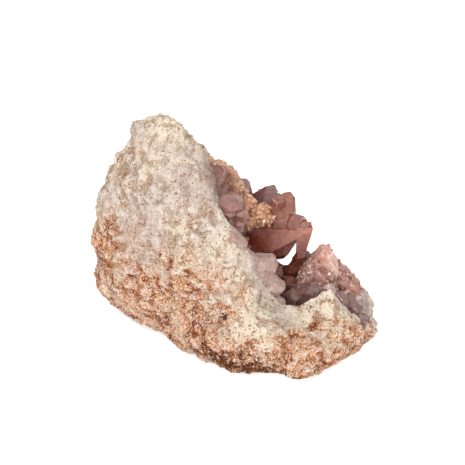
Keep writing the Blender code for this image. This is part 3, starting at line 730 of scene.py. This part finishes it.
def build_rind(crust_tree):
    """The rough skin: relief by modifiers, then a calmer rim, furrows and a flat base."""
    rind = merged_copy("rind", "rind_stone")
    remeshed(rind, RIND_VOXEL, 3)
    apply_all(rind)
    before, directions = points_of(rind), normals_of(rind)
    knobbly(rind, "crags", *CRAGS)
    apply_all(rind)
    crag_rise = ((points_of(rind) - before) * directions).sum(1)
    knobbly(rind, "knobs", *KNOBS)
    displaced(rind, "lumps", "CLOUDS", LUMP_WIDTH, LUMP_HEIGHT, noise_depth=5)
    knobbly(rind, "grains", *GRAINS)
    apply_all(rind)
    rise = ((points_of(rind) - before) * directions).sum(1)
    pits = rise - crag_rise
    pit = np.clip(0.5 - (pits - pits.mean()) / (PIT_RANGE * MM), 0, 1)
    rise -= rise.mean()
    near = distance_to(before, crust_tree, RIM_SEARCH * MM)
    rim = np.clip(1.3 - near / (RIM_BAND * MM), 0, 1)
    rise = rise * (1 - RIM_SMOOTHING * rim) - RIM_SETBACK * MM * rim
    rust_and_shade = patches(before, RUST_AND_SHADE_PATCHES)
    for line, reach, depth, stain_and_shade in FURROWS:
        away = line_distance(before, line) + 1.4 * pits / MM
        groove = np.exp(-((away / reach) ** 2))
        rise -= depth * MM * groove
        pit = np.clip(pit + 0.4 * groove, 0, 1)
        rust_and_shade = np.maximum(rust_and_shade, stain_and_shade * np.exp(-((away / (1.5 * reach)) ** 2)))
    points = before + directions * rise[:, None]
    base = before[:, 2] < BASE_BAND * MM
    points[base, 2] = before[base, 2]
    points[:, 2] = np.maximum(points[:, 2], 0)
    set_points(rind, points)
    for name, values in (
        ("pit", pit), ("rust_and_shade", rust_and_shade), ("rim", rim), ("soot_and_shade", patches(points, SOOT_AND_SHADE_PATCHES)),
        ("grey", patches(points, GREY_PATCHES)), ("blush", patches(points, BLUSH_PATCHES)),
        ("cream", patches(points, CREAM_PATCHES)),
    ):
        give(rind, name, values)
    finished(rind, rind_finish())
    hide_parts("rind")


# -------- crystals
def placed(place):
    """A place given in mm before the shift, as a point of the finished stone in metres."""
    return (Vector(place) + SHIFT) * MM


def cut_away(point, direction):
    """In edit mode, slices off what lies beyond a plane and closes the cut."""
    bpy.ops.mesh.select_all(action="SELECT")
    bpy.ops.mesh.bisect(plane_co=point, plane_no=direction, use_fill=True, clear_outer=True)


def bevelled(item, width):
    """Breaks every edge, and marks the narrow faces that this makes, which the finish paints paler as
    highlights.
    """
    flats = [face.normal.copy() for face in item.data.polygons]
    mode("EDIT")
    bpy.ops.mesh.select_all(action="SELECT")
    bpy.ops.mesh.bevel(offset=width * MM, segments=1, affect="EDGES", clamp_overlap=True)
    mode("OBJECT")
    edge = item.data.attributes.new("edge", "FLOAT", "FACE")
    for index, face in enumerate(item.data.polygons):
        edge.data[index].value = float(max(flat.dot(face.normal) for flat in flats) < SAME_FACING)


def quartz_point(name, root, tip, width, depth, roll, tip_share, chance, bevel, cuts=()):
    """A crystal with six uneven sides and a tip of six uneven faces, each cut by its own plane."""
    axis = tip - root
    length = axis.length
    turn = axis.to_track_quat("Z", "Y").to_matrix().to_4x4()
    turn @= Matrix.Rotation(math.radians(roll), 4, "Z")
    stand = Matrix.Translation(root) @ turn
    bpy.ops.mesh.primitive_cylinder_add(vertices=6, radius=0.5, depth=1.0, location=(0, 0, 0))
    item = bpy.context.object
    item.name = item.data.name = name
    spread = [chance.uniform(*SIDE_SPREAD) for _ in range(6)]
    taper = chance.uniform(*TAPER)
    for vertex in item.data.vertices:
        side = round(math.atan2(vertex.co.y, vertex.co.x) / math.radians(60)) % 6
        narrow = taper if vertex.co.z > 0 else 1.0
        vertex.co = (
            vertex.co.x * width * spread[side] * narrow,
            vertex.co.y * depth * spread[side] * narrow,
            (vertex.co.z + 0.5) * length,
        )
    only(item)
    mode("EDIT")
    slope = math.atan2(tip_share * length, 0.45 * (width + depth) / 2)
    for side in range(6):
        around = math.radians(60 * side + 30 + chance.uniform(-6, 6))
        lower = chance.choice((0.0, 0.0, 0.12, 0.3)) * tip_share * length
        facing = (
            math.cos(around) * math.sin(slope), math.sin(around) * math.sin(slope), math.cos(slope)
        )
        cut_away((0, 0, length - lower), facing)
    for place, direction in cuts:
        cut_away(stand.inverted() @ placed(place), turn.to_3x3().inverted() @ Vector(direction))
    mode("OBJECT")
    if bevel:
        bevelled(item, bevel)
    points = points_of(item)
    give(item, "tip", np.clip(points[:, 2] / length, 0, 1))
    give(item, "tone", np.full(len(points), chance.random()))
    item.data.transform(stand)
    return item


def joined(items, name):
    """Several objects as one piece."""
    bpy.ops.object.select_all(action="DESELECT")
    for item in items:
        item.select_set(True)
    bpy.context.view_layer.objects.active = items[0]
    bpy.ops.object.join()
    made = bpy.context.object
    made.name = made.data.name = name
    return made


def quartz_bundle(name, root, tip, width, depth, roll, share, chance, bevel, sides=0):
    """A crystal with smaller ones grown out of its sides, nearly parallel to it."""
    cuts = CUTS.get(name, ())
    made = [quartz_point(name, root, tip, width, depth, roll, share, chance, bevel, cuts)]
    axis = tip - root
    across = axis.orthogonal().normalized()
    for index in range(sides):
        turn = 2 * math.pi * (index + chance.uniform(-0.3, 0.3)) / sides
        outward = Matrix.Rotation(turn, 3, axis.normalized()) @ across
        small, reach = chance.uniform(0.42, 0.62), chance.uniform(0.66, 0.94)
        foot = root + outward * (width + depth) / 4 * chance.uniform(0.55, 0.8)
        head = foot + axis * reach + outward * axis.length * chance.uniform(-0.02, 0.05)
        made.append(quartz_point(
            f"{name}_side_{index}", foot, head, width * small, depth * small,
            roll + chance.uniform(-9, 9), share * small * 1.5, chance, bevel,
        ))
    return made


def group_of_points(name, members, chance, bevel=EDGE_BEVEL):
    """The large crystals of one group as one piece."""
    made = []
    for key, (root, tip, width, depth, roll, share, *sides) in members.items():
        made.extend(quartz_bundle(
            key, placed(root), placed(tip), width * MM, depth * MM, roll, share, chance, bevel,
            *sides,
        ))
    return joined(made, name)


def finished(item, material):
    """Gives a piece its material and body."""
    item.data.materials.clear()
    item.data.materials.append(material)
    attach(item, "root")
    return item


def spaced(points, order, spacing):
    """Picks points, in the order given, that stay at least spacing apart."""
    cells, chosen = {}, []
    for index in order:
        place = points[index]
        cell = tuple(int(c // spacing) for c in place)
        near = [
            other for x in (-1, 0, 1) for y in (-1, 0, 1) for z in (-1, 0, 1)
            for other in cells.get((cell[0] + x, cell[1] + y, cell[2] + z), ())
        ]
        if any(np.linalg.norm(points[other] - place) < spacing for other in near):
            continue
        cells.setdefault(cell, []).append(index)
        chosen.append(index)
    return chosen


def leaning(normals, lean, chance):
    """Directions near the normals, each leaning its own way."""
    made = []
    for normal in normals:
        side = Vector([chance.uniform(-1, 1) for _ in range(3)]) * lean
        made.append((Vector(normal) + side).normalized())
    return made


def small_points(chance, count=6):
    """A few small crystals, one unit wide, that are copied by the hundred."""
    made = []
    for index in range(count):
        item = quartz_point(
            f"small_{index}", Vector((0, 0, 0)), Vector((0, 0, 1)), 0.62, 0.54, 0, 0.5, chance, 0
        )
        made.append((points_of(item), [tuple(face.vertices) for face in item.data.polygons]))
        bpy.data.objects.remove(item)
    return made


def grow(name, places, directions, sizes, thickness, sink, shapes, chance):
    """Copies of the small crystals, one at each place, standing along its direction."""
    points, faces, tips, tones = [], [], [], []
    start = 0
    for place, direction, size in zip(places, directions, sizes):
        form, rings = shapes[chance.randrange(len(shapes))]
        turn = Vector(direction).to_track_quat("Z", "Y").to_matrix()
        turn = np.array(turn @ Matrix.Rotation(chance.uniform(0, math.pi), 3, "Z"))
        wide = chance.uniform(*thickness)
        local = form * np.array([size * wide, size * wide, size])
        local[:, 2] -= size * sink
        points.append(local @ turn.T + np.array(place))
        faces.extend(tuple(start + corner for corner in ring) for ring in rings)
        tips.append(form[:, 2])
        tones.append(np.full(len(form), chance.random()))
        start += len(form)
    mesh = bpy.data.meshes.new(name)
    mesh.from_pydata(np.concatenate(points).tolist(), [], faces)
    made = bpy.data.objects.new(name, mesh)
    bpy.context.scene.collection.objects.link(made)
    give(made, "tip", np.clip(np.concatenate(tips), 0, 1))
    give(made, "tone", np.concatenate(tones))
    return made


def dusting(name, piece, finish, number, size, shapes, chance):
    """Tiny crystals strewn over a piece's faces."""
    piece.data.calc_loop_triangles()
    points = points_of(piece)
    corners = np.array([triangle.vertices[:] for triangle in piece.data.loop_triangles])
    a, b, c = (points[corners[:, side]] for side in range(3))
    normals = np.cross(b - a, c - a)
    areas = np.linalg.norm(normals, axis=1)
    picks = chance.choices(range(len(areas)), weights=areas.tolist(), k=number)
    places, aims = [], []
    for pick in picks:
        u, v = sorted((chance.random(), chance.random()))
        places.append(a[pick] * u + b[pick] * (v - u) + c[pick] * (1 - v))
        aims.append(normals[pick] / areas[pick])
    sizes = [chance.uniform(*size) * MM for _ in picks]
    aims = leaning(aims, DUST_LEAN, chance)
    dust = grow(name, places, aims, sizes, DUST_THICKNESS, DUST_SINK, shapes, chance)
    finished(dust, finish)


def pocket_shaded(item):
    """Marks the painted shade of the hollows on a piece of druse."""
    give(item, "pocket_shade", patches(points_of(item), POCKET_SHADES))


# -------- lining of the hollow
def delete_faces(item, unwanted):
    """Removes the faces that a list marks."""
    only(item)
    mode("EDIT")
    bpy.ops.mesh.select_mode(type="FACE")
    bpy.ops.mesh.select_all(action="DESELECT")
    mode("OBJECT")
    item.data.polygons.foreach_set("select", unwanted)
    mode("EDIT")
    bpy.ops.mesh.delete(type="FACE")
    mode("OBJECT")


def rim_distance(item):
    """How far each vertex is from the open edge of a sheet."""
    count = {}
    for face in item.data.polygons:
        for key in face.edge_keys:
            count[key] = count.get(key, 0) + 1
    edge = sorted({vertex for key, uses in count.items() if uses == 1 for vertex in key})
    points = points_of(item)
    tree = kdtree.KDTree(len(edge))
    for index in edge:
        tree.insert(Vector(points[index]), index)
    tree.balance()
    return np.array([tree.find(Vector(point))[2] for point in points])


def build_wall(crust_tree):
    """The wall of the hollow, as an open sheet whose faces look into the hollow."""
    wall = merged_copy("rind", "hollow_lining")
    delete_faces(wall, [
        crust_tree.find_nearest(face.center, WALL_REACH * MM)[0] is None
        for face in wall.data.polygons
    ])
    finer = wall.modifiers.new("finer", "SUBSURF")
    finer.levels = finer.render_levels = 3
    apply_all(wall)
    inset = rim_distance(wall)
    delete_faces(wall, [
        bool(min(inset[i] for i in face.vertices) < RIM_MARGIN * MM) for face in wall.data.polygons
    ])
    return wall


def coat_hollow(points, normals, inset, shapes, chance):
    """Small and smaller crystals all over the wall, apart from its bare places."""
    bare = np.zeros(len(points), bool)
    for *place, reach in BARE_PLACES:
        bare |= np.linalg.norm(points - np.array(placed(place)), axis=1) < reach * MM
    order = list(range(len(points)))
    chance.shuffle(order)
    for name, (finish, spacing, setback, size, sink) in HOLLOW_COATS.items():
        fit = [i for i in order if inset[i] > setback * MM and not bare[i]]
        chosen = spaced(points, fit, spacing * MM)
        places = [
            points[i] + normals[i] * min(LINING_THICKNESS * MM, inset[i] / 2) * 0.85 for i in chosen
        ]
        sizes = [chance.uniform(*size) * MM for _ in chosen]
        aims = leaning([normals[i] for i in chosen], HOLLOW_LEAN, chance)
        coat = grow(name, places, aims, sizes, HOLLOW_THICKNESS, sink, shapes, chance)
        finished(coat, quartz_finish(finish))


def build_lining(crust_tree, shapes, chance):
    """The lining, thin at the rim, with the crystals that cover it."""
    wall = build_wall(crust_tree)
    points, normals, inset = points_of(wall), normals_of(wall), rim_distance(wall)
    deep = wall.vertex_groups.new(name="deep")
    for index, away in enumerate(inset):
        weight = float(np.clip((away - 0.5 * MM) / (LINING_RAMP * MM), 0, 1))
        deep.add([index], weight, "REPLACE")
    near_side = np.clip(0.5 - points[:, 1] / (6 * MM), 0, 1)
    give(wall, "rim", np.clip(1.4 - inset / (5 * MM), 0, 1) * near_side)
    shell = wall.modifiers.new("shell", "SOLIDIFY")
    shell.thickness = LINING_THICKNESS * MM
    shell.offset = 1.0
    shell.vertex_group = "deep"
    shell.thickness_vertex_group = LINING_EDGE
    relief = displaced(wall, "lining_lumps", "CLOUDS", 2.5, 1.0, noise_depth=2)
    relief.vertex_group = "deep"
    apply_all(wall)
    bpy.ops.object.shade_smooth()
    give(wall, "tip", np.full(len(wall.data.vertices), 0.1))
    give(wall, "tone", np.full(len(wall.data.vertices), 0.3))
    finished(wall, quartz_finish("lining", rim_tint=RIM_BUFF))
    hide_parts("crystal_crust")
    coat_hollow(points, normals, inset, shapes, chance)


# -------- lumps and druses
def blended(name, members, chance, rounds, height):
    """Crystals grown into one lump with worn edges."""
    named = {f"{name}_{index}": member for index, member in enumerate(members)}
    lump = group_of_points(name, named, chance, bevel=0)
    remeshed(lump, LUMP_VOXEL, rounds)
    displaced(lump, name + "_lumps", "CLOUDS", 2.0, height, noise_depth=2)
    apply_all(lump)
    give(lump, "tip", np.full(len(lump.data.vertices), 0.25))
    give(lump, "tone", np.full(len(lump.data.vertices), 0.3))
    return lump


def build_druse(name, shapes, chance):
    """A lump of massive quartz with a coat of tiny crystals."""
    finish, spacing, size, thickness, sink, lean = COATS[name]
    lump = blended(name, LUMPS[name], chance, 3, 0.9)
    points, normals = points_of(lump), normals_of(lump)
    order = list(range(len(points)))
    chance.shuffle(order)
    chosen = spaced(points, order, spacing * MM)
    aims = leaning([normals[i] for i in chosen], lean, chance)
    sizes = [chance.uniform(*size) * MM for _ in chosen]
    coat = grow(name + "_coat", points[chosen], aims, sizes, thickness, sink, shapes, chance)
    material = quartz_finish(finish)
    for item in (lump, coat):
        pocket_shaded(item)
        finished(item, material)


def build_crystals(crust_tree):
    """All that grew in the hollow. The order matters, because each part draws from one chance."""
    chance = random.Random(SEED)
    shapes = small_points(chance)
    build_lining(crust_tree, shapes, chance)
    groups = {}
    for name, (finish, dust) in GROUPS.items():
        material = quartz_finish(finish)
        groups[name] = finished(group_of_points(name, CRYSTALS[name], chance), material)
        dusting(name + "_dust", groups[name], material, dust, (0.7, 1.6), shapes, chance)
    pale = quartz_finish("pale")
    lumps = finished(blended("pale_lumps", LUMPS["pale_lumps"], chance, 6, 0.5), pale)
    dusting("pale_lumps_dust", lumps, pale, 60, (0.7, 1.5), shapes, chance)
    rim = blended("rim_quartz", LUMPS["rim_quartz"], chance, 5, 0.5)
    finished(rim, quartz_finish("rim"))
    # Painted glints: tiny pale crystals whose colour stands in for glints of light on the mauve blocks
    # and the pink knob.
    glint = quartz_finish("glint")
    dusting("mauve_glints", groups["mauve_blocks"], glint, 30, (0.5, 1.1), shapes, chance)
    dusting("pale_glints", groups["pink_points"], glint, 90, (0.6, 1.3), shapes, chance)
    for name in COATS:
        build_druse(name, shapes, chance)


# -------- stage
def build_stage():
    """A pale floor under a white sky."""
    bpy.ops.mesh.primitive_circle_add(vertices=96, radius=FLOOR_RADIUS, fill_type="NGON")
    floor = bpy.context.object
    floor.name = "studio_floor"
    f = Finish("floor_paint")
    shade = f.scale((0.93, 0.93, 0.93), 0.99 + f.noise(400, 2) * 0.02)
    floor.data.materials.append(f.set(
        Base_Color=shade, Roughness=0.9, Emission_Color=(1.0, 1.0, 1.0),
        Emission_Strength=FLOOR_GLOW,
    ))
    world = bpy.data.worlds.new("studio")
    bpy.context.scene.world = world
    world.use_nodes = True
    nodes, links = world.node_tree.nodes, world.node_tree.links
    heading = nodes.new("ShaderNodeTexCoord")
    parts = nodes.new("ShaderNodeSeparateXYZ")
    glow = nodes.new("ShaderNodeMapRange")
    glow.inputs["From Min"].default_value = -0.1
    glow.inputs["To Min"].default_value = HORIZON_GLOW
    glow.inputs["To Max"].default_value = ZENITH_GLOW
    links.new(heading.outputs["Generated"], parts.inputs["Vector"])
    links.new(parts.outputs["Z"], glow.inputs["Value"])
    links.new(glow.outputs["Result"], nodes["Background"].inputs["Strength"])
    nodes["Background"].inputs["Color"].default_value = (1.0, 1.0, 1.0, 1.0)


def softbox(name, place, size, power):
    """A square lamp that looks at the stone."""
    light = bpy.data.lights.new(name, "AREA")
    light.size = size
    light.energy = power
    made = bpy.data.objects.new(name, light)
    bpy.context.scene.collection.objects.link(made)
    made.location = place
    made.rotation_euler = (LIGHT_AIM - Vector(place)).to_track_quat("-Z", "Y").to_euler()


def build_camera():
    camera = bpy.data.cameras.new("camera")
    camera.sensor_width = SENSOR
    camera.lens = SENSOR * VIEW_DISTANCE / VIEW_WIDTH
    camera.clip_start, camera.clip_end = 0.05, 20.0
    made = bpy.data.objects.new("camera", camera)
    bpy.context.scene.collection.objects.link(made)
    rise = math.radians(VIEW_ELEVATION)
    back = Vector((0, -math.cos(rise), math.sin(rise)))
    made.location = VIEW_TARGET + back * VIEW_DISTANCE
    made.rotation_euler = (-back).to_track_quat("-Z", "Y").to_euler()
    bpy.context.scene.camera = made


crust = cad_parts["crystal_crust"]
crust_tree = BVHTree.FromObject(crust, bpy.context.evaluated_depsgraph_get())
build_camera()
build_stage()
for name, (place, size, power) in LIGHTS.items():
    softbox(name, place, size, power)
build_rind(crust_tree)
build_crystals(crust_tree)
bpy.context.scene.view_settings.view_transform = "Standard"
